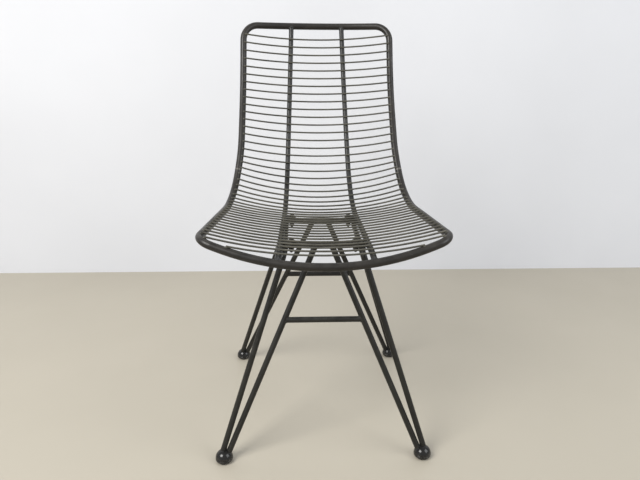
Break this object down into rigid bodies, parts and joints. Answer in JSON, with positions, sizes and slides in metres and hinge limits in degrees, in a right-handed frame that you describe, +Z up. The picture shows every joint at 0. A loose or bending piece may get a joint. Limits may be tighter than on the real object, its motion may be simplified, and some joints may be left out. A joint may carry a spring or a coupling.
{
  "type": "wire mesh chair",
  "caption": "Armless side chair with a bowed shell of cross wires in a bent tube frame, carried on splayed pairs of leg rods with ball feet.",
  "frame": {"origin": "on the floor, under the middle of the chair's box", "axes": "+Z up, +Y towards the back, +X to the right of someone who looks at the chair's front; the sitter faces -Y"},
  "size_m": [0.4874, 0.6068, 0.8842],
  "materials": {
    "tube_paint": "semi-gloss dark charcoal paint on round tube",
    "wire_paint": "semi-gloss dark charcoal paint on round wire",
    "spine_paint": "semi-gloss dark charcoal paint on round bar",
    "base_paint": "semi-gloss dark charcoal paint on round bar, with weld beads",
    "foot_gloss": "glossy black ball",
    "pad_rubber": "matt black floor pad",
    "fastener_steel": "blackened steel fastener"
  },
  "bodies": {
    "root": {"back_hoop": "tube_paint", "ball_foot_front_left": "foot_gloss", "ball_foot_front_right": "foot_gloss", "ball_foot_rear_left": "foot_gloss", "ball_foot_rear_right": "foot_gloss", "bolts": "fastener_steel", "crossbar_front": "base_paint", "crossbar_rear": "base_paint", "foot_pad_front_left": "pad_rubber", "foot_pad_front_right": "pad_rubber", "foot_pad_rear_left": "pad_rubber", "foot_pad_rear_right": "pad_rubber", "inner_leg_front_left": "base_paint", "inner_leg_front_right": "base_paint", "inner_leg_rear_left": "base_paint", "inner_leg_rear_right": "base_paint", "mounting_tabs": "base_paint", "nuts": "fastener_steel", "seat_hoop": "tube_paint", "side_rod_left": "base_paint", "side_rod_right": "base_paint", "spine_left": "spine_paint", "spine_right": "spine_paint", "stretcher_front": "base_paint", "stretcher_rear": "base_paint", "washers": "fastener_steel", "wires_01_02": "wire_paint", "wires_03_04": "wire_paint", "wires_05_06": "wire_paint", "wires_07_08": "wire_paint", "wires_09_10": "wire_paint", "wires_11_12": "wire_paint", "wires_13_14": "wire_paint", "wires_15_16": "wire_paint", "wires_17_18": "wire_paint", "wires_19_20": "wire_paint", "wires_21_22": "wire_paint", "wires_23_24": "wire_paint", "wires_25_26": "wire_paint", "wires_27_28": "wire_paint", "wires_29_30": "wire_paint", "wires_31_32": "wire_paint", "wires_33_34": "wire_paint", "wires_35_36": "wire_paint", "wires_37_38": "wire_paint", "wires_39_40": "wire_paint", "wires_41_42": "wire_paint"}
  },
  "joints": []
}
